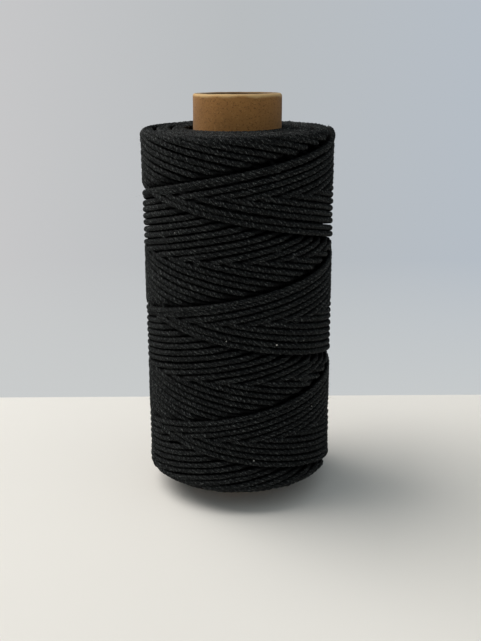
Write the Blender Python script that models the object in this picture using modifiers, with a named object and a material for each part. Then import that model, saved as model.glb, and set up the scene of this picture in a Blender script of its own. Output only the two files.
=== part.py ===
"""Waxed thread spool: one long waxed thread, cross-wound on a spiral-wound paper tube.

Run it with: blender --background --python part.py

Frame: metres, +Z up along the tube's axis, origin at the centre of the tube's lower end.
The tube is four strips of paper glued one over another. Each strip is a helical ribbon
whose edges meet in a spiral butt seam, as on a real tube. The thread is laid in crossing
turns, and each full cover of the spool is one ring here. Its starting end lies in a
channel under the first cover, and its cut end lies in the upper shoulder of the winding.
"""

import math

import bmesh
import bpy

# Tube
TUBE_LENGTH = 0.0630
TUBE_BORE = 0.0107
LINER_THICKNESS = 0.00030
CORE_PLY_THICKNESS = 0.00035
WRAP_THICKNESS = 0.00025
GLUE_LINE = 0.00005
SEAM_LEAD = 0.034
SEAM_GAP = 0.0003
LINER_SEAM_ANGLE = math.radians(280)
SEAM_SHIFT = math.radians(90)
END_ROUNDING = 0.0005

# Winding
WINDING_DIAMETER = 0.0297
BOTTOM_BARE_LENGTH = 0.0036
TOP_BARE_LENGTH = 0.0050
COVERS = ("first_thread_cover", "second_thread_cover", "third_thread_cover", "outer_thread_cover")
COVER_GAP = 0.00005
TOP_SHOULDER = 0.0012
BOTTOM_SHOULDER = 0.0016
SHOULDER_SHARE_OF_COVER = 0.9

# The thread and its two ends
THREAD_DIAMETER = 0.0010
CHANNEL_CLEARANCE = 0.0001
START_TAIL_LENGTH = 0.016
START_TAIL_SLOPE = math.radians(62)
START_TAIL_INSET = 0.0006
CUT_END_LENGTH = 0.0062
CUT_END_START_ANGLE = math.radians(-10)
CUT_END_RISE = 0.0011
CUT_END_TOP_DEPTH = 0.0002
CUT_END_INSET = 0.00005

# Facets
SEGMENTS = 48
ARC_STEPS = 4
THREAD_BEVEL_RESOLUTION = 2

TUBE_WALL = LINER_THICKNESS + 2 * CORE_PLY_THICKNESS + WRAP_THICKNESS + 3 * GLUE_LINE
TUBE_RADIUS = TUBE_BORE / 2 + TUBE_WALL
WINDING_BOTTOM = BOTTOM_BARE_LENGTH
WINDING_TOP = TUBE_LENGTH - TOP_BARE_LENGTH
WINDING_RADIUS = WINDING_DIAMETER / 2
WINDING_INNER_RADIUS = TUBE_RADIUS + COVER_GAP
COVER_SPACING = (WINDING_RADIUS + COVER_GAP - WINDING_INNER_RADIUS) / len(COVERS)


def clear_scene():
    """Empties the scene, and makes one collection for the parts and one for the cutters."""
    for old in list(bpy.data.objects):
        bpy.data.objects.remove(old)
    made = []
    for name in ("waxed_thread_spool", "cutters"):
        collection = bpy.data.collections.new(name)
        bpy.context.scene.collection.children.link(collection)
        made.append(collection)
    return made


def material(name, colour, roughness, coat=0.0):
    """A Principled material of one colour."""
    made = bpy.data.materials.new(name)
    made.use_nodes = True
    shader = made.node_tree.nodes["Principled BSDF"]
    shader.inputs["Base Color"].default_value = (*colour, 1)
    shader.inputs["Roughness"].default_value = roughness
    shader.inputs["Metallic"].default_value = 0.0
    shader.inputs["Coat Weight"].default_value = coat
    return made


def place(mesh_or_curve, name, collection, finish=None):
    """A new object of that name, linked to the collection."""
    made = bpy.data.objects.new(name, mesh_or_curve)
    collection.objects.link(made)
    if finish:
        made.data.materials.append(finish)
    return made


def as_cutter(helper):
    """Keeps a helper out of renders, and out of the built part."""
    helper.hide_render = True
    helper.display_type = "WIRE"
    return helper


def boolean(target, operation, other):
    modifier = target.modifiers.new(operation.lower(), "BOOLEAN")
    modifier.operation = operation
    modifier.object = other
    modifier.solver = "EXACT"


def arc(centre_r, centre_z, radius, start, end, steps=ARC_STEPS):
    """Points on an arc in the r, z plane. Angles are from +r towards +z."""
    return [
        (
            centre_r + radius * math.cos(start + (end - start) * i / steps),
            centre_z + radius * math.sin(start + (end - start) * i / steps),
        )
        for i in range(steps + 1)
    ]


def turned(name, profile, collection, finish=None, closed=True):
    """A solid of revolution. The profile runs down the outer side, then back up the inner."""
    bm = bmesh.new()
    corners = [bm.verts.new((r, 0, z)) for r, z in profile]
    for a, b in zip(corners, corners[1:]):
        bm.edges.new((a, b))
    if closed:
        bm.edges.new((corners[-1], corners[0]))
    mesh = bpy.data.meshes.new(name)
    bm.to_mesh(mesh)
    bm.free()
    made = place(mesh, name, collection, finish)
    screw = made.modifiers.new("turn", "SCREW")
    screw.axis = "Z"
    screw.steps = SEGMENTS
    screw.render_steps = SEGMENTS
    screw.use_merge_vertices = True
    screw.merge_threshold = 0.00001
    screw.use_smooth_shade = False
    return made


def helical_strip(name, inner, thickness, seam_angle, collection, finish):
    """One paper ply: a flat strip wound into a helix, its edges a seam gap apart."""
    bm = bmesh.new()
    low = -SEAM_LEAD * (1 + seam_angle / (2 * math.pi))
    high = low + SEAM_LEAD - SEAM_GAP
    section = [(inner, low), (inner + thickness, low), (inner + thickness, high), (inner, high)]
    face = bm.faces.new([bm.verts.new((r, 0, z)) for r, z in section])
    turns = math.ceil((TUBE_LENGTH - low) / SEAM_LEAD)
    bmesh.ops.spin(
        bm,
        geom=[face, *face.edges, *face.verts],
        cent=(0, 0, 0),
        axis=(0, 0, 1),
        dvec=(0, 0, SEAM_LEAD / SEGMENTS),
        angle=2 * math.pi * turns,
        steps=SEGMENTS * turns,
        use_merge=False,
        use_duplicate=False,
    )
    open_edges = [edge for edge in bm.edges if edge.is_boundary]
    bmesh.ops.holes_fill(bm, edges=open_edges, sides=0)
    bmesh.ops.recalc_face_normals(bm, faces=bm.faces)
    mesh = bpy.data.meshes.new(name)
    bm.to_mesh(mesh)
    bm.free()
    return place(mesh, name, collection, finish)


def trimming_body(collection):
    """What the tube is cut to: square ends, with the outer edge pressed round."""
    wide = TUBE_RADIUS + END_ROUNDING
    shoulder = TUBE_RADIUS - END_ROUNDING
    upper = arc(shoulder, TUBE_LENGTH - END_ROUNDING, END_ROUNDING, math.pi / 2, 0)
    lower = arc(shoulder, END_ROUNDING, END_ROUNDING, 0, -math.pi / 2)
    upper_lip = (wide, TUBE_LENGTH - 2 * END_ROUNDING)
    lower_lip = (wide, 2 * END_ROUNDING)
    profile = [(0, TUBE_LENGTH), *upper, upper_lip, lower_lip, *lower, (0, 0)]
    return as_cutter(turned("tube_trim", profile, collection, closed=False))


def build_tube(parts, cutters):
    """The four plies, from the bore outwards, each with its seam turned from the last."""
    kraft = material("kraft_paper", (0.18, 0.10, 0.042), 0.85)
    board = material("grey_board", (0.20, 0.14, 0.09), 0.9)
    plies = (
        ("tube_inner_liner", LINER_THICKNESS, kraft),
        ("tube_inner_core_ply", CORE_PLY_THICKNESS, board),
        ("tube_outer_core_ply", CORE_PLY_THICKNESS, board),
        ("tube_outer_wrap", WRAP_THICKNESS, kraft),
    )
    trim = trimming_body(cutters)
    inner = TUBE_BORE / 2
    for number, (name, thickness, finish) in enumerate(plies):
        seam_angle = LINER_SEAM_ANGLE + SEAM_SHIFT * number
        ply = helical_strip(name, inner, thickness, seam_angle, parts, finish)
        boolean(ply, "INTERSECT", trim)
        inner += thickness + GLUE_LINE


def cover_profile(inner, outer, outermost):
    """Half section of one cover. Only the outermost has the winding's round shoulders."""
    upper = [(outer, WINDING_TOP)]
    lower = [(outer, WINDING_BOTTOM)]
    if outermost:
        widest = SHOULDER_SHARE_OF_COVER * (outer - inner)
        top_round = min(TOP_SHOULDER, widest)
        bottom_round = min(BOTTOM_SHOULDER, widest)
        upper = arc(outer - top_round, WINDING_TOP - top_round, top_round, math.pi / 2, 0)
        lower = arc(
            outer - bottom_round, WINDING_BOTTOM + bottom_round, bottom_round, 0, -math.pi / 2
        )
    return [*upper, *lower, (inner, WINDING_BOTTOM), (inner, WINDING_TOP)]


def thread_curve(name, points, diameter, collection, finish=None):
    """A round thread through the points, as a curve with closed ends."""
    curve = bpy.data.curves.new(name, "CURVE")
    curve.dimensions = "3D"
    curve.bevel_depth = diameter / 2
    curve.bevel_resolution = THREAD_BEVEL_RESOLUTION
    curve.use_fill_caps = True
    spline = curve.splines.new("POLY")
    spline.points.add(len(points) - 1)
    for point, place_at in zip(spline.points, points):
        point.co = (*place_at, 1)
    return place(curve, name, collection, finish)


def curve_to_mesh(curve_object, collection):
    """The same shape as a mesh with its caps welded on, so that it can cut."""
    bpy.context.view_layer.update()
    graph = bpy.context.evaluated_depsgraph_get()
    mesh = bpy.data.meshes.new_from_object(curve_object.evaluated_get(graph))
    bm = bmesh.new()
    bm.from_mesh(mesh)
    bmesh.ops.remove_doubles(bm, verts=bm.verts, dist=0.000001)
    bmesh.ops.recalc_face_normals(bm, faces=bm.faces)
    bm.to_mesh(mesh)
    bm.free()
    name = curve_object.name
    matrix = curve_object.matrix_world.copy()
    bpy.data.objects.remove(curve_object)
    made = place(mesh, name, collection)
    made.matrix_world = matrix
    return made


def start_tail_points(before=0.0, after=0.0):
    """Centreline of the start tail, which climbs along the tube. It can be drawn out further."""
    radius = WINDING_INNER_RADIUS + THREAD_DIAMETER / 2
    low = WINDING_BOTTOM + START_TAIL_INSET
    length = before + START_TAIL_LENGTH + after
    steps = math.ceil(length / (2 * THREAD_DIAMETER))
    points = []
    for i in range(steps + 1):
        along = length * i / steps - before
        angle = along * math.cos(START_TAIL_SLOPE) / radius
        height = low + along * math.sin(START_TAIL_SLOPE)
        points.append((radius * math.cos(angle), radius * math.sin(angle), height))
    return points


def cut_end_points(before=0.0, after=0.0):
    """Centreline of the cut end, which rises over the upper shoulder of the winding."""
    radius = WINDING_RADIUS - THREAD_DIAMETER / 2 - CUT_END_INSET
    top = WINDING_TOP - CUT_END_TOP_DEPTH
    length = before + CUT_END_LENGTH + after
    steps = math.ceil(length / THREAD_DIAMETER)
    points = []
    for i in range(steps + 1):
        along = length * i / steps - before
        angle = CUT_END_START_ANGLE + along / radius
        height = top - CUT_END_RISE * (1 - along / CUT_END_LENGTH)
        points.append((radius * math.cos(angle), radius * math.sin(angle), height))
    return points


def cut_channel(cover, points, cutters):
    """Leaves room in a cover for a thread along the points."""
    width = THREAD_DIAMETER + 2 * CHANNEL_CLEARANCE
    channel = thread_curve(cover.name + "_channel", points, width, cutters)
    boolean(cover, "DIFFERENCE", as_cutter(curve_to_mesh(channel, cutters)))


def build_thread(parts, cutters):
    """The covers of thread, and the thread's two ends."""
    waxed = material("waxed_thread", (0.012, 0.013, 0.013), 0.55, coat=0.15)
    covers = []
    inner = WINDING_INNER_RADIUS
    for name in COVERS:
        outer = inner + COVER_SPACING - COVER_GAP
        profile = cover_profile(inner, outer, name == COVERS[-1])
        covers.append(turned(name, profile, parts, waxed))
        inner += COVER_SPACING
    out_of_the_winding = START_TAIL_INSET + 2 * THREAD_DIAMETER
    start_room = start_tail_points(out_of_the_winding, CHANNEL_CLEARANCE)
    cut_channel(covers[0], start_room, cutters)
    cut_channel(covers[-1], cut_end_points(CHANNEL_CLEARANCE, CHANNEL_CLEARANCE), cutters)
    thread_curve("thread_start_tail", start_tail_points(), THREAD_DIAMETER, parts, waxed)
    thread_curve("thread_cut_end", cut_end_points(), THREAD_DIAMETER, parts, waxed)


def main():
    parts, cutters = clear_scene()
    build_tube(parts, cutters)
    build_thread(parts, cutters)


main()
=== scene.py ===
# %% [markdown]
# # A spool of waxed thread
#
# The spool is one long black waxed thread, wound in crossing turns on a small paper tube.
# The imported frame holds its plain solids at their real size. This lesson dresses them: the
# thread is wound turn by turn, the tube gets its paper plies, and both get a finish.
# Everything is in metres, with +Z up the tube.

import math

import bmesh
import bpy
import numpy as np
from mathutils import Matrix, Vector


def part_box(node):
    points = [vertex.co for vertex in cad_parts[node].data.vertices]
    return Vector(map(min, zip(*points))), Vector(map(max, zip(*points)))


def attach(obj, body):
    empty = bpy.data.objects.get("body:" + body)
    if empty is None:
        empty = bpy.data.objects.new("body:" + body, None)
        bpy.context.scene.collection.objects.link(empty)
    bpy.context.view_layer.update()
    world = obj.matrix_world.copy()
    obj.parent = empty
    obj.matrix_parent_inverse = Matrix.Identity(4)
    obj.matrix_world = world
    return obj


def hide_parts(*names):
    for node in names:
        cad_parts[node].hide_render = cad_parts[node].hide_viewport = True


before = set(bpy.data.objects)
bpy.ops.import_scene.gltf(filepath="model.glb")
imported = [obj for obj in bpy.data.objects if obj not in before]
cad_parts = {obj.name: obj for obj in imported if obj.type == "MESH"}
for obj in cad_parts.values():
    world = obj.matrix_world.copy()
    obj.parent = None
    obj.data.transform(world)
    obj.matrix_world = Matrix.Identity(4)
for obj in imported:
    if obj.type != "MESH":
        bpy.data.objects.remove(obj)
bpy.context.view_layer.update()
MM = 0.001
BODY = "root"
print("frame nodes:", ", ".join(sorted(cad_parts)))

# %% [markdown]
# ## The camera
#
# The view is what an eye level with the top of the tube would see, looking a little down.
# A level camera with a shifted lens would keep the sides of the spool parallel, but here
# they close towards the foot, so the camera itself is tilted. Its place is worked out from
# the tube's top, so that it follows the spool.

# %% Camera
TUBE_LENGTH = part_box("tube_inner_liner")[1].z
CAMERA_DISTANCE = 142.64 * MM
CAMERA_ABOVE_TUBE = 7.24 * MM
CAMERA_ASIDE = 0.28 * MM
CAMERA_PITCH = math.radians(16.81)
CAMERA_ROLL = math.radians(0.34)
LENS_MM = 51.58

camera = bpy.data.objects.new("camera", bpy.data.cameras.new("camera"))
bpy.context.scene.collection.objects.link(camera)
camera.data.lens = LENS_MM
camera.data.sensor_width = 36
camera.data.clip_start = 0.01
camera.data.clip_end = 50
eye = Vector((CAMERA_ASIDE, -CAMERA_DISTANCE, TUBE_LENGTH + CAMERA_ABOVE_TUBE))
tilt = Matrix.Rotation(math.pi / 2 - CAMERA_PITCH, 4, "X")
camera.matrix_world = Matrix.Translation(eye) @ tilt @ Matrix.Rotation(-CAMERA_ROLL, 4, "Z")
bpy.context.scene.camera = camera
bpy.context.scene.view_settings.view_transform = "Standard"
print("camera at", [round(v / MM, 1) for v in eye], "mm")

# %% [markdown]
# ## Sizes from the frame
#
# The tube's and the winding's sizes are read from the frame's own boxes. The thread's thickness and the
# way it is laid are set here.

# %% Sizes of the tube and the winding
cover_low, cover_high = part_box("outer_thread_cover")
TUBE_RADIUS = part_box("tube_outer_wrap")[1].x
WINDING_RADIUS = cover_high.x
WINDING_LOW = cover_low.z
WINDING_HIGH = cover_high.z
THREAD = 1.0 * MM
print("winding", round(2 * WINDING_RADIUS / MM, 2), "mm across,")
print("from", round(WINDING_LOW / MM, 1), "to", round(WINDING_HIGH / MM, 1), "mm up the tube")

# %% [markdown]
# ## How the thread is laid
#
# A winding machine turns the tube and moves the thread up and down it. Each trip along the
# tube is one pass, of just under three turns. Two passes are a little short of six turns,
# so each new turn lies one thread above or below the one before it in the same direction.
# That is what draws the crossing V-shaped bands.
#
# One could draw a few bands on a cylinder, but their edges, where a young strand lies on older ones,
# would be missing. So the whole thread is wound here, pass by pass, on a map of how high the package
# stands at each angle and height. The number of passes doesn't follow from the frame. It is set to wind
# about 25 m, which is what such spools hold.

# %% The path of the traverse
PASSES = 113
TURNS_PER_DOUBLE_PASS = 5.945
LAST_ANGLE = math.radians(12)
TURN_ROUND = math.radians(30)
LEAD_IN = math.radians(128)
STEP = 0.3 * MM
END_SCATTER = 0.05 * MM
ANGLE_SCATTER = math.radians(0.45)
CUT_END_RISE = 0.12 * MM

rng = np.random.default_rng(11)
pass_angle = TURNS_PER_DOUBLE_PASS * math.pi
number = np.arange(PASSES + 1)
turn_angles = LAST_ANGLE - pass_angle * (PASSES - number)
loose = np.where(number < PASSES - 2, 1.0, 0.0)
turn_angles = turn_angles + rng.normal(0, ANGLE_SCATTER, PASSES + 1) * loose
at_top = (PASSES - number) % 2 == 0
LOW = WINDING_LOW + THREAD / 2
HIGH = WINDING_HIGH - THREAD / 2
scatter = np.abs(rng.normal(0, END_SCATTER, PASSES + 1))
turn_heights = np.where(at_top, HIGH - scatter, LOW + scatter)
turn_heights[-1] = HIGH + CUT_END_RISE
print(PASSES, "passes of", round(pass_angle / (2 * math.pi), 3), "turns")


def eased(share, start_ease, end_ease):
    """Steady travel from 0 to 1, with a round start and end as the guide turns back."""
    speed = 1 / (1 - start_ease / 2 - end_ease / 2)
    steady = speed * (share - start_ease / 2)
    start = speed * share * share / max(2 * start_ease, 1e-9)
    end = 1 - speed * (1 - share) ** 2 / max(2 * end_ease, 1e-9)
    return np.where(share < start_ease, start, np.where(share > 1 - end_ease, end, steady))


# %% [markdown]
# ## A taut thread on a lumpy package
#
# Under tension a strand touches only the high spots and runs straight between them. In the
# coordinates of angle and radius that is the upper hull of the spots, once a parabola has
# been taken off for the curve of the package. It also slides into a groove beside it.
#
# A real thread flattens where it crosses another. This one keeps its round section and may
# sink in by PRESS_IN, half its thickness, so crossing strands pass into one another.

# %% Helpers of the winding
CELLS_ROUND = 400
CELL_HEIGHT = 0.2 * MM
MAP_MARGIN = 2.4 * MM
GRIP = 8.0
PRESS_IN = 0.5 * MM
FOLLOW = 0.28
SLIDE = 0.05 * MM
SETTLE_LENGTH = 4 * MM
SLIDE_TRIES = 7
GROOVE_PULL = 0.08 * MM
map_low = WINDING_LOW - MAP_MARGIN
map_rows = int((WINDING_HIGH + MAP_MARGIN - map_low) / CELL_HEIGHT) + 1
FOOTPRINT = np.linspace(-0.45, 0.45, 7) * THREAD
LIFT = 0.9 * np.sqrt((THREAD / 2) ** 2 - FOOTPRINT**2)


def columns(angles):
    """The map's columns on both sides of each angle, and how far it is between them."""
    exact = angles / (2 * math.pi) * CELLS_ROUND
    left = np.floor(exact).astype(int)
    return left % CELLS_ROUND, (left + 1) % CELLS_ROUND, exact - left


def resting_radius(surface, angles, heights):
    """How far out a strand must lie at each point to clear what is already there."""
    left, right, _ = columns(angles)
    exact = (heights[None, :] + FOOTPRINT[:, None] - map_low) / CELL_HEIGHT
    exact = np.clip(exact, 0, map_rows - 1.001)
    row = exact.astype(int)
    share = exact - row
    lower = np.maximum(surface[left[None, :], row], surface[right[None, :], row])
    upper = np.maximum(surface[left[None, :], row + 1], surface[right[None, :], row + 1])
    return ((1 - share) * lower + share * upper + LIFT[:, None]).max(0)


def smoothed(values, width):
    """A running mean with soft edges."""
    weights = np.hanning(width + 2)[1:-1]
    weights = weights / weights.sum()
    padded = np.pad(values, width, mode="edge")
    return np.convolve(padded, weights, mode="same")[width:-width]


def pulled_taut(needed, angle_step, curve):
    """The upper hull of the needed radii, as a stretched thread would lie on them."""
    place = (np.arange(len(needed)) - len(needed) / 2) * angle_step
    bow = curve * place * place / 2
    level = needed - bow
    xs = place.tolist()
    ys = level.tolist()
    hull = []
    for i in range(len(ys)):
        while len(hull) > 1:
            a, b = hull[-2], hull[-1]
            if (ys[b] - ys[a]) * (xs[i] - xs[a]) > (ys[i] - ys[a]) * (xs[b] - xs[a]):
                break
            hull.pop()
        hull.append(i)
    return np.interp(place, place[hull], level[hull]) + bow


def settled_sideways(surface, angles, heights):
    """Moves each stretch into the nearest groove, within the reach of SLIDE."""
    tries = np.linspace(-SLIDE, SLIDE, SLIDE_TRIES)
    width = max(3, int(SETTLE_LENGTH / STEP))
    found = [smoothed(resting_radius(surface, angles, heights + t), width) for t in tries]
    found = np.array(found)
    weights = np.exp(-(found - found.min(0)) / GROOVE_PULL)
    weights = weights * np.exp(-0.5 * (tries[:, None] / SLIDE) ** 2)
    shift = (weights * tries[:, None]).sum(0) / weights.sum(0)
    return heights + smoothed(shift, width)


# %% [markdown]
# ## Winding it
#
# Each pass is laid on the map, and then the map is raised where it lies. The radius that a
# pass aims for grows evenly up to the outside of the winding, which stands for the pressure
# of the turns above it. It makes the passes fit, at the price of strands that overlap.

# %% Wind every pass
WOBBLE = 0.012 * MM
WAVES = 8
CALM_RATE = 12
LEAST_POINTS = 60
OVERSHOOT = 0.25 * MM
GROWTH_END = WINDING_RADIUS - THREAD / 2


def lay_pass(surface, k, before):
    """One trip of the thread along the tube, as angles, radii and heights."""
    lead = LEAD_IN if k == 0 else 0.0
    start, end = turn_angles[k] - lead, turn_angles[k + 1]
    middle = np.median(surface) + THREAD / 2
    count = max(LEAST_POINTS, int((end - start) * middle / STEP))
    angles = np.linspace(start, end, count)
    share = np.clip((angles - turn_angles[k]) / (end - turn_angles[k]), 0, 1)
    ease = TURN_ROUND / (end - turn_angles[k])
    travel = eased(share, ease, 0.0 if k == PASSES - 1 else ease)
    heights = turn_heights[k] + (turn_heights[k + 1] - turn_heights[k]) * travel
    calm = np.minimum(1, np.minimum(share, 1 - share) * CALM_RATE)
    for wave in range(WAVES):
        size, phase = rng.normal(0, WOBBLE), rng.uniform(0, 2 * math.pi)
        heights = heights + size * calm * np.sin(angles * (0.6 + 0.37 * wave) + phase)
    heights = settled_sideways(surface, angles, heights)
    if k < PASSES - 1:
        heights = np.clip(heights, LOW - OVERSHOOT, HIGH + OVERSHOOT)
    needed = resting_radius(surface, angles, heights)
    base = TUBE_RADIUS + THREAD / 2 + (GROWTH_END - TUBE_RADIUS - THREAD / 2) * k / (PASSES - 1)
    wanted = np.maximum(base + FOLLOW * (needed - needed.mean()), needed - PRESS_IN)
    wanted[0] = before or wanted[0]
    radii = pulled_taut(wanted, (end - start) / (count - 1), GRIP * middle)
    return angles, radii, heights


def raise_map(surface, angles, radii, heights):
    """Adds a strand to the map of the package."""
    left, _, _ = columns(angles)
    for offset in np.arange(-0.5, 0.501, 0.05) * THREAD:
        top = radii + math.sqrt(max((THREAD / 2) ** 2 - offset**2, 0))
        row = np.clip(np.round((heights + offset - map_low) / CELL_HEIGHT), 0, map_rows - 1)
        np.maximum.at(surface, (left, row.astype(int)), top)


surface = np.full((CELLS_ROUND, map_rows), TUBE_RADIUS)
laid = []
radius_before = None
for k in range(PASSES):
    strand = lay_pass(surface, k, radius_before)
    raise_map(surface, *strand)
    radius_before = strand[1][-1]
    laid.append(strand)
print("package before levelling:", round(float(surface.max()) / MM, 2), "mm in radius")

# %% [markdown]
# ## Levelling the package
#
# The pull of so many turns presses a real package into an even cylinder. The map is
# blurred to find its slow swells, and every radius is scaled so that those swells come
# out level. What still stands out or dips in the outer millimetre is pressed even by about
# half. Both ends stay a little proud, where the thread turns back and dwells.

# %% Level the slow swells
SWELL = 0.36 * MM
SHOULDER_RISE = 0.12 * MM
SHOULDER_REACH = 2.6 * MM
CREST_BELOW_BOX = 0.02 * MM
PRESSED_SHARE = 0.55
PRESSED_DEPTH = 1.0 * MM
PROUD = 0.06 * MM
BLUR_ROWS = 30


def crest_map(surface):
    """The crests of the strands: the highest cell within one thread's width, blurred."""
    reach = int(THREAD / CELL_HEIGHT / 2)
    crest = surface.copy()
    for shift in range(-reach, reach + 1):
        crest = np.maximum(crest, np.roll(surface, shift, axis=1))
    rows = np.arange(-BLUR_ROWS, BLUR_ROWS + 1) * CELL_HEIGHT
    weights_up = np.exp(-0.5 * (rows / SWELL) ** 2)
    weights_up = weights_up / weights_up.sum()
    edge = int(MAP_MARGIN / CELL_HEIGHT) + 4
    crest[:, :edge] = crest[:, edge : edge + 1]
    crest[:, -edge:] = crest[:, -edge - 1 : -edge]
    wide = np.pad(crest, ((0, 0), (BLUR_ROWS, BLUR_ROWS)), mode="edge")
    crest = sum(w * wide[:, i : i + map_rows] for i, w in enumerate(weights_up))
    cells = np.fft.fftfreq(CELLS_ROUND, 1 / CELLS_ROUND)
    damp = np.exp(-0.5 * (cells * SWELL / WINDING_RADIUS) ** 2)
    return np.fft.ifft(np.fft.fft(crest, axis=0) * damp[:, None], axis=0).real


crest = crest_map(surface)


def levelled(angles, radii, heights):
    """A strand's radii after the package has been pressed even."""
    left, right, share = columns(angles)
    exact = np.clip((heights - map_low) / CELL_HEIGHT, 0, map_rows - 1.001)
    row = exact.astype(int)
    here = (1 - share) * crest[left, row] + share * crest[right, row]
    to_end = np.minimum(heights - WINDING_LOW, WINDING_HIGH - heights)
    rise = SHOULDER_RISE * np.exp(-((to_end / SHOULDER_REACH) ** 2))
    goal = WINDING_RADIUS - CREST_BELOW_BOX + rise
    scale = (goal - TUBE_RADIUS - THREAD / 2) / (here - TUBE_RADIUS - THREAD / 2)
    pressed = TUBE_RADIUS + THREAD / 2 + (radii - TUBE_RADIUS - THREAD / 2) * scale
    depth = goal - THREAD / 2 - pressed
    share_kept = PRESSED_SHARE + (1 - PRESSED_SHARE) * np.clip(depth / PRESSED_DEPTH, 0, 1)
    return goal - THREAD / 2 - np.maximum(depth * share_kept, -PROUD)


laid = [(a, levelled(a, r, z), z) for a, r, z in laid]
print("levelled", len(laid), "passes")

# %% [markdown]
# ## Filling the end faces
#
# On a real package the pressure also pushes the turns outwards along the tube, so both end
# faces are closely filled. A second map holds how far the package reaches at each angle
# and radius. The turns near an end are moved out by what is missing there. The outermost
# turns stay where the traverse laid them.

# %% Level the end faces
FACE_STEP = 0.3 * MM
FACE_ROWS = int((WINDING_RADIUS - TUBE_RADIUS) / FACE_STEP) + 2
FACE_REACH = 8 * MM
FACE_BLUR = 1.5 * MM
FACE_FADE = 1.3 * MM


def face_map(sign):
    """How far the package reaches at each angle and radius, upwards (1) or downwards (-1)."""
    reach = np.full((CELLS_ROUND, FACE_ROWS), sign * (LOW + HIGH) / 2)
    for angles, radii, heights in laid:
        left, _, _ = columns(angles)
        for offset in (-0.4 * MM, 0, 0.4 * MM):
            row = np.clip((radii + offset - TUBE_RADIUS) / FACE_STEP, 0, FACE_ROWS - 1)
            np.maximum.at(reach, (left, row.astype(int)), sign * heights)
    cells = np.fft.fftfreq(CELLS_ROUND, 1 / CELLS_ROUND)
    damp = np.exp(-0.5 * (cells * FACE_BLUR / WINDING_RADIUS) ** 2)
    reach = np.fft.ifft(np.fft.fft(reach, axis=0) * damp[:, None], axis=0).real
    return np.apply_along_axis(smoothed, 1, reach, 4)


faces = {1: face_map(1), -1: face_map(-1)}


def filled(angles, radii, heights):
    """A strand's heights after the end faces have been pushed level."""
    left, right, share = columns(angles)
    exact = np.clip((radii - TUBE_RADIUS) / FACE_STEP, 0, FACE_ROWS - 1.001)
    row, part = exact.astype(int), exact % 1
    inside = np.clip((WINDING_RADIUS - THREAD / 2 - radii) / FACE_FADE, 0, 1)
    for sign, limit in ((1, HIGH), (-1, -LOW)):
        face = faces[sign]
        one = face[left, row] * (1 - part) + face[left, row + 1] * part
        two = face[right, row] * (1 - part) + face[right, row + 1] * part
        reach = one * (1 - share) + two * share
        near = np.clip((sign * heights - reach + FACE_REACH) / FACE_REACH, 0, 1)
        missing = np.clip(limit - reach, 0, FACE_REACH / 2)
        moved = sign * heights + missing * near * near * (3 - 2 * near) * inside
        heights = sign * np.minimum(moved, np.maximum(sign * heights, limit + 0.1 * MM))
    return heights


laid = [(a, r, filled(a, r, z)) for a, r, z in laid]
for sign, limit in ((1, HIGH), (-1, -LOW)):
    print("end face short by", round(float((limit - faces[sign]).mean()) / MM, 2), "mm before filling")

# %% The finished map
final = np.full((CELLS_ROUND, map_rows), TUBE_RADIUS)
for strand in laid:
    raise_map(final, *strand)
crests = np.array([final[:, i : i + 6].max(1) for i in range(map_rows // 4, 3 * map_rows // 4)])
print("crests of the winding:", round(float(crests.mean()) / MM, 2), "mm, spread",
      round(float(crests.std()) / MM, 2), "mm, highest", round(float(final.max()) / MM, 2))


def centreline(strand):
    """A strand's points in space."""
    angles, radii, heights = strand
    return np.stack([radii * np.cos(angles), radii * np.sin(angles), heights], -1)


lengths = [np.linalg.norm(np.diff(centreline(s), axis=0), axis=1).sum() for s in laid]
print("thread on the spool:", round(float(sum(lengths)), 1), "m")

# %% [markdown]
# ## A three-ply thread
#
# The thread is three plies twisted together. A smooth tube with a bump map would do from
# afar, but the plies show in the outline of each strand, so they are real shape here: each
# section is a round trefoil that turns once in a lay length, and its points follow the
# plies. Strands buried in the package are sampled half as often, because nobody sees them.

# %% Skin a path with a twisted section
LAY_LENGTH = 3.0 * MM
PLIES = 3
POINTS_PER_PLY = 4
GROOVE = 0.24
SKIN_SHARE = 0.95
FLATTENED = 0.95
BURIED = 1.7 * MM
END_ZONE = 2.4 * MM
sides = PLIES * POINTS_PER_PLY
round_angles = np.arange(sides) * 2 * math.pi / sides
section = SKIN_SHARE * THREAD / 2 * (1 - GROOVE + GROOVE * np.abs(np.cos(PLIES * round_angles / 2)))


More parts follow.
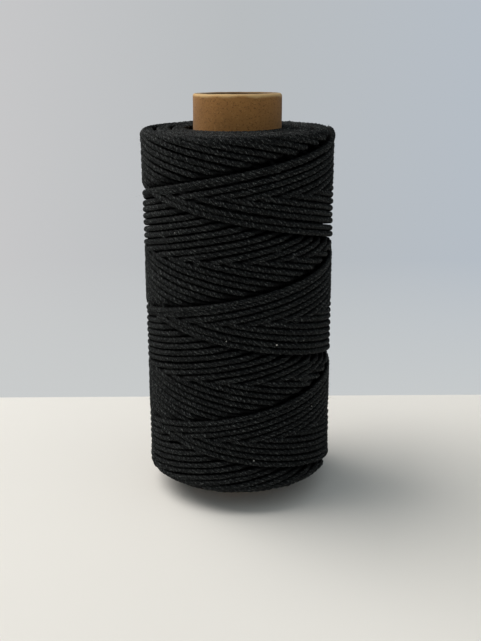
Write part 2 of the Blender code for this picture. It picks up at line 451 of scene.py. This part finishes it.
def mesh_from_rings(name, rings, along, around, rows_of_map=1, row_length=None):
    """A closed skin over rings of points, with a map along it and a packed map for baking."""
    count, ring = rings.shape[:2]
    points = np.vstack([rings.reshape(-1, 3), rings[0].mean(0), rings[-1].mean(0)])
    i, j = np.meshgrid(np.arange(count - 1), np.arange(ring), indexing="ij")
    following = (j + 1) % ring
    quads = np.stack([i * ring + j, i * ring + following,
                      (i + 1) * ring + following, (i + 1) * ring + j], -1).reshape(-1, 4)
    k = np.arange(ring)
    first = np.stack([(k + 1) % ring, k, np.full(ring, count * ring)], -1)
    last = (count - 1) * ring
    end = np.stack([last + k, last + (k + 1) % ring, np.full(ring, count * ring + 1)], -1)
    loops = np.concatenate([quads.ravel(), first.ravel(), end.ravel()])
    starts = np.concatenate([np.arange(len(quads)) * 4, len(quads) * 4 + np.arange(2 * ring) * 3])
    mesh = bpy.data.meshes.new(name)
    mesh.vertices.add(len(points))
    mesh.vertices.foreach_set("co", points.ravel())
    mesh.loops.add(len(loops))
    mesh.loops.foreach_set("vertex_index", loops.astype(np.int32))
    mesh.polygons.add(len(starts))
    mesh.polygons.foreach_set("loop_start", starts.astype(np.int32))
    mesh.update(calc_edges=True)
    mesh.polygons.foreach_set("use_smooth", np.ones(len(starts), bool))
    edges = np.append(around, 1.0)
    u = np.stack([along[i], along[i], along[i + 1], along[i + 1]], -1).reshape(-1)
    v = np.stack([edges[j], edges[j + 1], edges[j + 1], edges[j]], -1).reshape(-1)
    cap_u = np.repeat([along[0], along[-1]], ring * 3)
    cap_v = np.tile(np.stack([edges[:-1], edges[1:], (edges[:-1] + edges[1:]) / 2], -1).ravel(), 2)
    own = mesh.uv_layers.new(name="along_and_around")
    own.data.foreach_set("uv", np.stack([np.append(u, cap_u), np.append(v, cap_v)], -1).ravel())
    row_length = row_length or (along[-1] - along[0]) / rows_of_map
    row = np.minimum((along[i] - along[0]) // row_length, rows_of_map - 1)
    row4 = np.repeat(row.reshape(-1), 4)
    packed_u = (u - along[0] - row4 * row_length) / row_length
    packed_v = (row4 + 0.05 + 0.9 * v) / rows_of_map
    cap_row = np.repeat([0.0, rows_of_map - 1.0], ring * 3)
    packed_cap = (cap_row + 0.05 + 0.9 * cap_v) / rows_of_map
    cap_side = np.repeat([0.0, 1.0], ring * 3)
    bake = mesh.uv_layers.new(name="OFBake")
    packed = np.stack([np.append(packed_u * 0.98 + 0.01, cap_side * 0.98 + 0.01),
                       np.append(packed_v, packed_cap)], -1)
    bake.data.foreach_set("uv", np.clip(packed, 0, 1).ravel())
    mesh.validate(verbose=False)
    return mesh


def add_piece(name, mesh, slot, *nodes):
    """A finished piece that rides on the spool and stands for the given nodes."""
    piece = bpy.data.objects.new(name, mesh)
    bpy.context.scene.collection.objects.link(piece)
    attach(piece, BODY)
    if nodes:
        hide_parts(*nodes)
    return piece


def frames_along(path):
    """Tangent, outward and sideways directions at each point of a path round the tube."""
    tangent = np.gradient(path, axis=0)
    tangent /= np.linalg.norm(tangent, axis=1, keepdims=True)
    outward = path * np.array([1.0, 1.0, 0.0])
    outward -= (outward * tangent).sum(1, keepdims=True) * tangent
    outward /= np.linalg.norm(outward, axis=1, keepdims=True)
    return tangent, outward, np.cross(tangent, outward)


def twisted_rings(path, along, spread=None):
    """The trefoil section at each point, turned by how far along the thread it is."""
    _, outward, sideways = frames_along(path)
    turned = round_angles[None, :] + 2 * math.pi * along[:, None] / LAY_LENGTH
    size = section[None, :] * (np.ones(len(path)) if spread is None else spread)[:, None]
    out = (FLATTENED * size * np.cos(turned))[..., None] * outward[:, None, :]
    aside = (size * np.sin(turned))[..., None] * sideways[:, None, :]
    return path[:, None, :] + out + aside


def seen(strand):
    """Which points of a strand lie near the outside of the package or near its ends."""
    angles, radii, heights = strand
    left, _, _ = columns(angles)
    row = np.clip(((heights - map_low) / CELL_HEIGHT).astype(int), 0, map_rows - 1)
    near_end = np.minimum(heights - WINDING_LOW, WINDING_HIGH - heights) < END_ZONE
    return near_end | (final[left, row] - radii < BURIED)


# %% [markdown]
# ## The thread in stretches
#
# One mesh for the whole thread would be too heavy to handle. It is cut into stretches of
# whole passes, one after another along the thread, and each stretch stands for the cover
# of the frame that it belongs to. The last few millimetres are the cut end.

# %% Build the stretches
COVERS = ("first_thread_cover", "second_thread_cover", "third_thread_cover", "outer_thread_cover")
MAX_RINGS = 7600
MAP_ROWS = 96
CUT_END_LENGTH = 6.2 * MM
cover_edges = [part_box(name)[1].x for name in COVERS]


def cover_of(strand):
    """The cover whose solid holds most of a strand."""
    typical = float(np.median(strand[1]))
    inside = [n for n, edge in enumerate(cover_edges) if typical < edge + THREAD / 4]
    return inside[0] if inside else len(COVERS) - 1


whole = []
for strand in laid:
    keep = seen(strand)
    keep[::2] = True
    keep[-1] = True
    keep[1:] |= keep[:-1] & (np.arange(1, len(keep)) % 2 == 0)
    line = centreline(strand)[keep]
    whole.append((cover_of(strand), line if not whole else line[1:]))

stretches = []
for cover, line in whole:
    fits = stretches and stretches[-1][0] == cover
    if fits and sum(len(part) for part in stretches[-1][1]) + len(line) < MAX_RINGS:
        stretches[-1][1].append(line)
    else:
        stretches.append((cover, [line]))
print(len(stretches), "stretches,", sum(len(line) for _, line in whole), "rings of", sides)

threads = []
travelled = 0.0
last_point = None
for n, (cover, lines) in enumerate(stretches):
    path = np.vstack(([last_point] if last_point is not None else []) + lines)
    steps = np.linalg.norm(np.diff(path, axis=0), axis=1)
    along = travelled + np.append(0, np.cumsum(steps))
    travelled = float(along[-1])
    last_point = path[-1:]
    if n == len(stretches) - 1:
        body = along < along[-1] - CUT_END_LENGTH
        end_path, end_along = path[~body], along[~body]
        path, along = path[: body.sum() + 1], along[: body.sum() + 1]
    rings = twisted_rings(path, along)
    name = f"thread_stretch_{n + 1:02d}"
    mesh = mesh_from_rings(name, rings, along / MM, round_angles / (2 * math.pi), MAP_ROWS)
    threads.append(add_piece(name, mesh, "waxed_thread", COVERS[cover]))
print("wound", round(travelled, 2), "m of thread in", len(threads), "pieces")

# %% [markdown]
# ## The two ends of the thread
#
# The thread starts in a tail that lies along the tube under its own first turns. Its other
# end is cut, and it narrows to a ragged tip with a small brush of fibres.

# %% The start tail and the cut end
TAIL_LENGTH = 16 * MM
TAIL_SLOPE = math.radians(62)
TAIL_START = WINDING_LOW + 0.6 * MM

tail_along = np.arange(0, TAIL_LENGTH, STEP)
tail_radius = TUBE_RADIUS + THREAD / 2
tail_angle = tail_along * math.cos(TAIL_SLOPE) / tail_radius
tail_path = np.stack([tail_radius * np.cos(tail_angle), tail_radius * np.sin(tail_angle),
                      TAIL_START + tail_along * math.sin(TAIL_SLOPE)], -1)
tail_mesh = mesh_from_rings("start_tail", twisted_rings(tail_path, tail_along),
                            tail_along / MM, round_angles / (2 * math.pi), 2)
threads.append(add_piece("start_tail", tail_mesh, "waxed_thread", "thread_start_tail"))

FRAY_LENGTH = 1.6 * MM
from_tip = end_along[-1] - end_along
spread = 1 - 0.5 * np.clip(1 - from_tip / FRAY_LENGTH, 0, 1) ** 1.5
end_mesh = mesh_from_rings("cut_end", twisted_rings(end_path, end_along, spread),
                           end_along / MM, round_angles / (2 * math.pi), 2)
threads.append(add_piece("cut_end", end_mesh, "waxed_thread", "thread_cut_end"))
tip, tip_way = end_path[-1], end_path[-1] - end_path[-4]
tip_way = tip_way / np.linalg.norm(tip_way)
print("cut end at", np.round(tip / MM, 1), "mm")

# %% [markdown]
# ## Loose fibres
#
# Wax lays most fibres flat, but a few stand off every thread and soften its outline. Each
# is a fine bent hair of three sides. Hair particles would look the same, but they are not
# a mesh, so they would be lost when the spool is used elsewhere.

# %% Loose fibres
FIBRES = 1500
FIBRE_POINTS = 5
FIBRE_THICK = 0.014 * MM
TIP_FIBRES = 30


def fibre_rings(root, way, bend, length, thick):
    """A hair from its root along a way that bends, as small triangles that taper."""
    share = np.linspace(0, 1, FIBRE_POINTS)[:, None]
    line = root + length * (share * way + share**2 * bend)
    side = np.cross(way, [0.31, 0.52, 0.79])
    side /= np.linalg.norm(side)
    other = np.cross(way, side)
    turn = np.arange(3) * 2 * math.pi / 3
    ring = np.cos(turn)[:, None] * side + np.sin(turn)[:, None] * other
    return line[:, None, :] + thick / 2 * (1 - 0.7 * share)[:, None, :] * ring[None]


def joined_hairs(name, hairs):
    """One mesh of many hairs, each a closed body."""
    points, faces = [], []
    for rings in hairs:
        base = len(points)
        points.extend(rings.reshape(-1, 3).tolist())
        for i in range(FIBRE_POINTS - 1):
            for j in range(3):
                a, b = base + 3 * i + j, base + 3 * i + (j + 1) % 3
                faces.append((a, b, b + 3, a + 3))
        last = base + 3 * (FIBRE_POINTS - 1)
        faces.append((base + 2, base + 1, base))
        faces.append((last, last + 1, last + 2))
    mesh = bpy.data.meshes.new(name)
    mesh.from_pydata(points, [], faces)
    mesh.update()
    return mesh


hair_rng = np.random.default_rng(5)
outer_line = np.vstack([line for cover, line in whole if cover == len(COVERS) - 1])
_, outward, sideways = frames_along(outer_line)
tangents = np.gradient(outer_line, axis=0)
tangents /= np.linalg.norm(tangents, axis=1, keepdims=True)
hairs = []
for pick in hair_rng.integers(2, len(outer_line) - 2, FIBRES):
    lean = hair_rng.uniform(-1.1, 1.1)
    normal = math.cos(lean) * outward[pick] + math.sin(lean) * sideways[pick]
    root = outer_line[pick] + normal * THREAD * 0.42
    flat = hair_rng.uniform(0.5, 2.2) * hair_rng.choice([-1, 1])
    way = normal * hair_rng.uniform(0.25, 1.0) + flat * tangents[pick] * 0.5
    way /= np.linalg.norm(way)
    bend = hair_rng.normal(0, 0.45, 3)
    length = min(hair_rng.gamma(2.2, 0.24), 0.9) * MM
    hairs.append(fibre_rings(root, way, bend, length, FIBRE_THICK))
for _ in range(TIP_FIBRES):
    offset = hair_rng.normal(0, 0.12 * MM, 3)
    way = tip_way + hair_rng.normal(0, 0.38, 3)
    way /= np.linalg.norm(way)
    length = hair_rng.uniform(0.2, 0.6) * MM
    bend = hair_rng.normal(0, 0.3, 3)
    hairs.append(fibre_rings(tip + offset, way, bend, length, 1.6 * FIBRE_THICK))
fibres = add_piece("loose_fibres", joined_hairs("loose_fibres", hairs), "waxed_thread")
print(len(hairs), "loose fibres")

# %% [markdown]
# ## The paper tube
#
# The tube is four paper strips wound one over another. Each is a closed ribbon that climbs
# round the tube, and its edges meet in a fine spiral seam. A plain turned ring would hide
# how it is made. Here the ribbon is skinned column by column, each column cut off where it
# passes the tube's ends, and the rim is pressed round. A real tube is sawn off a long one,
# and its upper end is a little out of square.

# %% Wind the plies
SEAM_LEAD = 34 * MM
SEAM_GAP = 0.12 * MM
RIM_ROUND = 0.40 * MM
INNER_ROUND = 0.2 * MM
CUT_SKEW = 0.16 * MM
PLY_NODES = ("tube_inner_liner", "tube_inner_core_ply", "tube_outer_core_ply", "tube_outer_wrap")
FIRST_SEAM = math.radians(280)
COLUMNS = 120
ROWS = 30
EDGE_POINTS = 4
bore_radius = TUBE_RADIUS - 1.4 * MM


def rim_depth(radius, angle):
    """How far in from the tube's end the rounded rim lies, at this radius."""
    outer = np.clip((radius - (TUBE_RADIUS - RIM_ROUND)) / RIM_ROUND, 0, 1)
    inner = np.clip(((bore_radius + INNER_ROUND) - radius) / INNER_ROUND, 0, 1)
    soft = 0.03 * MM * (np.sin(5 * angle + 1) + np.sin(11 * angle) + np.sin(23 * angle + 2))
    worn = 0.05 * MM + soft * 0.6
    return (RIM_ROUND * (1 - np.sqrt(1 - outer**2)) + INNER_ROUND * (1 - np.sqrt(1 - inner**2))
            + worn * (0.35 + 0.65 * outer))


def ply_rings(inner, outer, seam):
    """Closed sections of one ribbon, one for each column round the tube."""
    low_start = -SEAM_LEAD * (1 + seam / (2 * math.pi))
    width = SEAM_LEAD - SEAM_GAP
    first = (0.0002 - low_start - width) / SEAM_LEAD * 2 * math.pi
    last = (TUBE_LENGTH - 0.0002 - low_start) / SEAM_LEAD * 2 * math.pi
    angles = np.linspace(first, last, int((last - first) / (2 * math.pi) * COLUMNS))
    across = np.concatenate([np.full(ROWS + 1, outer), np.linspace(outer, inner, EDGE_POINTS + 2)[1:-1],
                             np.full(ROWS + 1, inner), np.linspace(inner, outer, EDGE_POINTS + 2)[1:-1]])
    ease = 0.5 - 0.5 * np.cos(np.linspace(0, math.pi, ROWS + 1))
    share = np.concatenate([ease, np.ones(EDGE_POINTS), ease[::-1], np.zeros(EDGE_POINTS)])
    strip_low = low_start + SEAM_LEAD * angles / (2 * math.pi)
    depth = rim_depth(across[None, :], angles[:, None])
    skew = CUT_SKEW * (0.35 - np.sin(angles[:, None])) * across[None, :] / TUBE_RADIUS
    bottom = np.maximum(strip_low[:, None], depth)
    top = np.minimum(strip_low[:, None] + width, TUBE_LENGTH + skew - depth)
    top = np.maximum(top, bottom + 0.01 * MM)
    heights = bottom + (top - bottom) * share[None, :]
    turned = angles[:, None]
    lumps = 0.012 * MM * (np.sin(3 * turned + 420 * heights) + np.sin(7 * turned - 900 * heights))
    radii = across[None, :] + lumps * (across[None, :] > inner + 1e-6)
    rings = np.stack([radii * np.cos(angles)[:, None], radii * np.sin(angles)[:, None], heights], -1)
    return rings, angles


plies = []
for n, node in enumerate(PLY_NODES):
    low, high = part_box(node)
    outer = high.x
    inner = bore_radius if n == 0 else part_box(PLY_NODES[n - 1])[1].x + 0.05 * MM
    rings, angles = ply_rings(inner, outer, FIRST_SEAM + n * math.pi / 2)
    ring = rings.shape[1]
    mesh = mesh_from_rings(node + "_paper", rings[:, ::-1], angles * outer / MM,
                           np.arange(ring) / ring, 4)
    slot = "grey_board" if "core" in node else "kraft_paper"
    plies.append(add_piece(node + "_paper", mesh, slot, node))
    print(node, "from", round(inner / MM, 2), "to", round(outer / MM, 2), "mm,", len(mesh.polygons))

# %% [markdown]
# ## Finishes
#
# All colours are procedural: they come from noise in the object's own space or along the
# thread, so they stay with the piece from every side. A small set of helpers keeps the
# node trees short.

# %% Node helpers


class Finish:
    """A Principled material and short calls to add nodes to it."""

    def __init__(self, name, roughness=0.5, coat=0.0, specular=0.5, sheen=0.0):
        self.material = bpy.data.materials.new(name)
        self.material.use_nodes = True
        self.nodes = self.material.node_tree.nodes
        self.links = self.material.node_tree.links
        self.shader = self.nodes["Principled BSDF"]
        self.shader.inputs["Metallic"].default_value = 0.0
        self.shader.inputs["Roughness"].default_value = roughness
        self.shader.inputs["Coat Weight"].default_value = coat
        self.shader.inputs["Coat Roughness"].default_value = 0.35
        self.shader.inputs["Specular IOR Level"].default_value = specular
        self.shader.inputs["Sheen Weight"].default_value = sheen
        self.shader.inputs["Sheen Roughness"].default_value = 0.5

    def put(self, socket, value):
        self.links.new(value, self.shader.inputs[socket])

    def place(self):
        return self.nodes.new("ShaderNodeTexCoord").outputs["Object"]

    def map_along(self):
        node = self.nodes.new("ShaderNodeUVMap")
        node.uv_map = "along_and_around"
        return node.outputs["UV"]

    def stretched(self, vector, scale):
        node = self.nodes.new("ShaderNodeMapping")
        node.inputs["Scale"].default_value = scale
        self.links.new(vector, node.inputs["Vector"])
        return node.outputs["Vector"]

    def noise(self, vector, scale, detail=2.0, roughness=0.5):
        node = self.nodes.new("ShaderNodeTexNoise")
        node.inputs["Scale"].default_value = scale
        node.inputs["Detail"].default_value = detail
        node.inputs["Roughness"].default_value = roughness
        self.links.new(vector, node.inputs["Vector"])
        return node.outputs["Fac"]

    def between(self, value, low, high, start=0.0, end=1.0):
        node = self.nodes.new("ShaderNodeMapRange")
        node.inputs["From Min"].default_value = low
        node.inputs["From Max"].default_value = high
        node.inputs["To Min"].default_value = start
        node.inputs["To Max"].default_value = end
        self.links.new(value, node.inputs["Value"])
        return node.outputs["Result"]

    def mixed(self, share, first, second, blend="MIX"):
        node = self.nodes.new("ShaderNodeMix")
        node.data_type = "RGBA"
        node.blend_type = blend
        for socket, value in (("A", first), ("B", second)):
            target = [s for s in node.inputs if s.name == socket and s.type == "RGBA"][0]
            if isinstance(value, tuple):
                target.default_value = (*value, 1)
            else:
                self.links.new(value, target)
        factor = node.inputs[0]
        if isinstance(share, float):
            factor.default_value = share
        else:
            self.links.new(share, factor)
        return [s for s in node.outputs if s.type == "RGBA"][0]

    def maths(self, operation, first, second):
        node = self.nodes.new("ShaderNodeMath")
        node.operation = operation
        for socket, value in zip(node.inputs, (first, second)):
            if isinstance(value, (int, float)):
                socket.default_value = value
            else:
                self.links.new(value, socket)
        return node.outputs[0]

    def bumped(self, value, strength, distance):
        node = self.nodes.new("ShaderNodeBump")
        node.inputs["Strength"].default_value = strength
        node.inputs["Distance"].default_value = distance
        self.links.new(value, node.inputs["Height"])
        self.links.new(node.outputs["Normal"], self.shader.inputs["Normal"])


# %% [markdown]
# ## Waxed black thread
#
# Dyed black thread is never pure black: its fibres show fine paler streaks along the plies, and the wax
# adds a dull gloss with thin greyish bloom here and there. The streaks are noise stretched along the
# thread. Sparse bright flecks along the plies are painted highlights, and the grooves between the plies
# and the strands lying deeper in the package are darkened as painted shade. The gloss is a low coat over
# a rough base.

# %% Thread finish
thread_finish = Finish("waxed_black_thread", roughness=0.55, coat=0.04, specular=0.07)
along_map = thread_finish.map_along()
round_it = thread_finish.nodes.new("ShaderNodeSeparateXYZ")
thread_finish.links.new(along_map, round_it.inputs[0])
across_plies = thread_finish.maths("MULTIPLY", round_it.outputs["Y"], PLIES)
valley = thread_finish.maths("PINGPONG", across_plies, 0.5)
streaks = thread_finish.noise(thread_finish.stretched(along_map, (1.6, 20, 1)), 1.0, 3.0, 0.6)
glints = thread_finish.noise(thread_finish.stretched(along_map, (3.2, 13, 1)), 1.0, 3.0, 0.7)
bloom = thread_finish.noise(thread_finish.place(), 420, 3.0, 0.6)
dark = (0.0009, 0.0011, 0.0014)
light = (0.0094, 0.0114, 0.0122)
streaked = thread_finish.mixed(thread_finish.between(streaks, 0.40, 0.62), dark, light)
bloomed = thread_finish.mixed(
    thread_finish.between(bloom, 0.5, 0.75, 0.0, 0.6), streaked, (0.0225, 0.0245, 0.0238)
)
# Painted highlights: sparse bright flecks along the plies, where the glint noise is high.
with_painted_glints = thread_finish.mixed(
    thread_finish.between(glints, 0.53, 0.66, 0.0, 0.95), bloomed, (0.15, 0.16, 0.157)
)
# Painted shade: the grooves between the plies are darkened towards the dark tone.
shaded = thread_finish.mixed(thread_finish.between(valley, 0.26, 0.48, 0.0, 0.92), with_painted_glints, dark)
# Painted shade: strands lying below the outer surface of the winding, or back from its end faces, are
# darkened towards the dark tone.
spot = thread_finish.nodes.new("ShaderNodeSeparateXYZ")
thread_finish.links.new(thread_finish.place(), spot.inputs[0])
x_square = thread_finish.maths("MULTIPLY", spot.outputs["X"], spot.outputs["X"])
y_square = thread_finish.maths("MULTIPLY", spot.outputs["Y"], spot.outputs["Y"])
radius = thread_finish.maths("SQRT", thread_finish.maths("ADD", x_square, y_square), 0)
depths = [
    thread_finish.maths("SUBTRACT", WINDING_RADIUS, radius),
    thread_finish.maths("SUBTRACT", WINDING_HIGH, spot.outputs["Z"]),
    thread_finish.maths("SUBTRACT", spot.outputs["Z"], WINDING_LOW),
]
deep = thread_finish.maths("MINIMUM", thread_finish.maths("MINIMUM", depths[0], depths[1]), depths[2])
shaded = thread_finish.mixed(thread_finish.between(deep, 0.17 * MM, 0.5 * MM, 0.0, 0.97), shaded, dark)
thread_finish.put("Base Color", shaded)
thread_finish.put("Roughness", thread_finish.between(streaks, 0.3, 0.7, 0.42, 0.78))
thread_finish.bumped(thread_finish.maths("ADD", streaks, glints), 1.0, 0.15 * MM)
for piece in threads:
    piece.data.materials.append(thread_finish.material)

fibre_finish = Finish("loose_black_fibre", roughness=0.55, specular=0.4)
fibre_tone = fibre_finish.noise(fibre_finish.place(), 900, 1.0)
fibre_finish.put("Base Color", fibre_finish.mixed(fibre_tone, (0.012, 0.012, 0.013), (0.07, 0.07, 0.07)))
fibres.data.materials.append(fibre_finish.material)
print("thread finish on", len(threads), "pieces")

# %% [markdown]
# ## Kraft paper
#
# Brown kraft paper is a felt of fibres, with darker and paler flecks and soft clouds of tone. It rubs
# pale along the rim, and the pale rim colour also stands in for the highlight on the rounded edge, so it
# is partly painted highlight. The paling follows the height along the tube, so both ends get it.

# %% Paper finishes


def paper(name, base, dark, pale, rim):
    """Speckled paper that is paler near both ends of the tube: rubbed wear and a painted highlight on
    the rim.
    """
    finish = Finish(name, roughness=0.85, specular=0.3, sheen=0.1)
    spot = finish.place()
    clouds = finish.noise(spot, 260, 3.0, 0.55)
    grain = finish.noise(spot, 2600, 3.0, 0.7)
    flecks = finish.noise(finish.stretched(spot, (1, 1, 1.4)), 3000, 3.0, 0.65)
    tone = finish.mixed(finish.between(clouds, 0.35, 0.7), base, tuple(0.78 * c for c in base))
    tone = finish.mixed(finish.between(flecks, 0.53, 0.66, 0.0, 0.7), tone, dark)
    tone = finish.mixed(finish.between(grain, 0.56, 0.72, 0.0, 0.6), tone, pale)
    height = finish.nodes.new("ShaderNodeSeparateXYZ")
    finish.links.new(spot, height.inputs[0])
    above_middle = finish.maths("SUBTRACT", height.outputs["Z"], TUBE_LENGTH / 2)
    from_middle = finish.maths("ABSOLUTE", above_middle, 0)
    ragged = finish.maths("ADD", from_middle, finish.between(clouds, 0.3, 0.7, -0.25 * MM, 0.25 * MM))
    # Paler rim near both ends of the tube: partly rubbed wear, partly a painted highlight on the rounded
    # edge.
    rim_wear_and_highlight = finish.between(ragged, TUBE_LENGTH / 2 - 0.5 * MM, TUBE_LENGTH / 2 - 0.1 * MM, 0.0, 0.85)
    finish.put("Base Color", finish.mixed(rim_wear_and_highlight, tone, rim))
    finish.put("Roughness", finish.between(grain, 0.3, 0.7, 0.78, 0.95))
    finish.bumped(finish.maths("ADD", grain, clouds), 0.55, 0.05 * MM)
    return finish.material


KRAFT = (0.36, 0.170, 0.048)
kraft = paper("kraft_paper", KRAFT, dark=(0.11, 0.045, 0.014), pale=(0.47, 0.255, 0.09),
              rim=(0.66, 0.44, 0.20))
# The liner paper is much darker than the outer kraft, as painted shade inside the bore.
liner = paper("liner_paper", (0.15, 0.075, 0.025), dark=(0.06, 0.03, 0.01),
              pale=(0.2, 0.11, 0.04), rim=(0.2, 0.12, 0.05))
board = paper("grey_board", (0.20, 0.14, 0.085), dark=(0.09, 0.06, 0.035),
              pale=(0.34, 0.26, 0.17), rim=(0.34, 0.24, 0.13))
for piece in plies:
    tone = board if "core" in piece.name else liner if "liner" in piece.name else kraft
    piece.data.materials.append(tone)
print("paper finish on", len(plies), "plies")

# %% [markdown]
# ## Dust
#
# Waxed thread picks up dust. A few pale specks sit on the outside of the winding. Each is
# a small uneven grain, pressed half into the strand below it.

# %% Dust specks
SPECKS = ((-67.8, 27.5, 0.10), (-81.5, 9.2, 0.095), (-97.1, 28.4, 0.06), (-48.9, 27.3, 0.055),
          (-128.0, 44.0, 0.05), (-40.0, 16.0, 0.05), (62.0, 33.0, 0.07), (150.0, 21.0, 0.06))
dust_rng = np.random.default_rng(21)


def dust_mesh():
    """All the specks in one mesh, each a dented ball on the surface of the package."""
    bm = bmesh.new()
    for degrees, height, size in SPECKS:
        angle = math.radians(degrees)
        left, _, _ = columns(np.array([angle]))
        row = int((height * MM - map_low) / CELL_HEIGHT)
        radius = float(final[int(left[0]), row - 1 : row + 2].max())
        made = bmesh.ops.create_icosphere(bm, subdivisions=2, radius=size * MM)["verts"]
        centre = Vector((radius * math.cos(angle), radius * math.sin(angle), height * MM))
        for v in made:
            v.co = centre + v.co * float(dust_rng.uniform(0.7, 1.25))
    mesh = bpy.data.meshes.new("dust")
    bm.to_mesh(mesh)
    bm.free()
    return mesh


dust = add_piece("dust", dust_mesh(), "waxed_thread")
dust_finish = Finish("pale_dust", roughness=0.9, specular=0.2)
dust_tone = dust_finish.noise(dust_finish.place(), 4000, 1.0)
dust_finish.put("Base Color", dust_finish.mixed(dust_tone, (0.55, 0.54, 0.50), (0.8, 0.79, 0.75)))
dust.data.materials.append(dust_finish.material)
print(len(SPECKS), "specks of dust")

# %% [markdown]
# ## Floor and backdrop
#
# The spool stands on a warm white sheet, with a cooler one behind it. A wall that close would block the
# view from behind, so its lower part is painted on the floor: past a line behind the spool the floor
# shows a cool tone to the camera. Much further back stands a real wall of the same tone. That tone is
# painted light: it fans out from in front of the spool, lighter and neutral grey on the left towards the
# lamp, bluer on the right, and paler low down.

# %% Floor and backdrop
FLOOR_HALF = 12.0
WALL_AT = 0.6
WALL_HEIGHT = 3.0
BACK_LINE = 35.6 * MM
WARM = (0.82, 0.797, 0.755)
# Tones of the painted light on the backdrop: lighter on the left, bluer on the right, paler low down.
LEFT_TONE = (0.573, 0.573, 0.580)
MIDDLE_TONE = (0.485, 0.508, 0.525)
RIGHT_TONE = (0.462, 0.508, 0.562)
LOW_TONE = (0.590, 0.610, 0.610)
FAN_FROM = 143 * MM
FAN_WIDTH = 0.27


def staged(name, corners):
    """A flat sheet of the stage."""
    mesh = bpy.data.meshes.new(name)
    mesh.from_pydata(corners, [], [(0, 1, 2, 3)])
    sheet = bpy.data.objects.new(name, mesh)
    bpy.context.scene.collection.objects.link(sheet)
    return sheet


def backdrop_painted_light(finish, parts):
    """Painted light on the backdrop: a fan of cool tones, lighter on the left towards the lamp, paler
    low down.
    """
    reach = finish.maths("ADD", parts.outputs["Y"], FAN_FROM)
    aside = finish.maths("DIVIDE", parts.outputs["X"], reach)
    tone = finish.mixed(finish.between(aside, -FAN_WIDTH, 0.0), LEFT_TONE, MIDDLE_TONE)
    tone = finish.mixed(finish.between(aside, 0.0, FAN_WIDTH), tone, RIGHT_TONE)
    low = finish.between(parts.outputs["Y"], BACK_LINE, 0.16, 0.8, 0.0)
    return finish.mixed(low, tone, LOW_TONE)


def stage_finish(name, line):
    """A pale matt sheet that shows the cool tone to the camera past the line."""
    finish = Finish(name, roughness=0.9, specular=0.2)
    parts = finish.nodes.new("ShaderNodeSeparateXYZ")
    finish.links.new(finish.place(), parts.inputs[0])
    beyond = finish.between(parts.outputs["Y"], line - 0.15 * MM, line + 0.15 * MM)
    tone = backdrop_painted_light(finish, parts)
    finish.put("Base Color", finish.mixed(beyond, WARM, tone))
    glow = finish.nodes.new("ShaderNodeEmission")
    finish.links.new(tone, glow.inputs["Color"])
    light_path = finish.nodes.new("ShaderNodeLightPath")
    show = finish.maths("MULTIPLY", beyond, light_path.outputs["Is Camera Ray"])
    choice = finish.nodes.new("ShaderNodeMixShader")
    finish.links.new(show, choice.inputs[0])
    finish.links.new(finish.shader.outputs[0], choice.inputs[1])
    finish.links.new(glow.outputs[0], choice.inputs[2])
    finish.links.new(choice.outputs[0], finish.nodes["Material Output"].inputs["Surface"])
    return finish.material


wide = FLOOR_HALF
floor = staged("floor", [(-wide, -wide, 0), (wide, -wide, 0), (wide, WALL_AT, 0), (-wide, WALL_AT, 0)])
wall = staged("wall", [(-wide, WALL_AT, 0), (wide, WALL_AT, 0), (wide, WALL_AT, WALL_HEIGHT),
                       (-wide, WALL_AT, WALL_HEIGHT)])
floor.data.materials.append(stage_finish("floor_sheet", BACK_LINE))
wall.data.materials.append(stage_finish("wall_sheet", BACK_LINE))
print("cool tone past", round(BACK_LINE / MM), "mm, wall at", round(WALL_AT / MM), "mm")

# %% [markdown]
# ## Light
#
# One large soft lamp stands high on the left, as a window would, and the sky fills the
# rest. The lamp's width sets how soft the shadow is, and its height how long it is.

# %% Lamp and sky
LAMP_ELEVATION = math.radians(57)
LAMP_DISTANCE = 0.62
LAMP_BEHIND = 0.15
LAMP_SIZE = 0.52
LAMP_POWER = 3.9
SKY_FILL = 0.44
target = Vector((0, 0, TUBE_LENGTH / 2))
way = Vector((-math.cos(LAMP_ELEVATION), LAMP_BEHIND, math.sin(LAMP_ELEVATION))).normalized()
lamp = bpy.data.objects.new("window_lamp", bpy.data.lights.new("window_lamp", "AREA"))
bpy.context.scene.collection.objects.link(lamp)
lamp.data.shape = "SQUARE"
lamp.data.size = LAMP_SIZE
lamp.data.energy = LAMP_POWER
lamp.data.color = (1.0, 0.965, 0.925)
lamp.location = target + way * LAMP_DISTANCE
lamp.rotation_euler = (-way).to_track_quat("-Z", "Y").to_euler()

world = bpy.data.worlds.new("sky")
bpy.context.scene.world = world
world.use_nodes = True
sky_nodes = world.node_tree.nodes
sky_links = world.node_tree.links
sky = sky_nodes["Background"]
sky.inputs["Color"].default_value = (0.91, 0.98, 1.0, 1)
sky.inputs["Strength"].default_value = SKY_FILL
shown = sky_nodes.new("ShaderNodeBackground")
shown.inputs["Color"].default_value = (0.50, 0.525, 0.56, 1)
path_kind = sky_nodes.new("ShaderNodeLightPath")
sky_choice = sky_nodes.new("ShaderNodeMixShader")
sky_links.new(path_kind.outputs["Is Camera Ray"], sky_choice.inputs[0])
sky_links.new(sky.outputs[0], sky_choice.inputs[1])
sky_links.new(shown.outputs[0], sky_choice.inputs[2])
sky_links.new(sky_choice.outputs[0], sky_nodes["World Output"].inputs["Surface"])
print("lamp of", LAMP_POWER, "W at", [round(v, 2) for v in lamp.location])
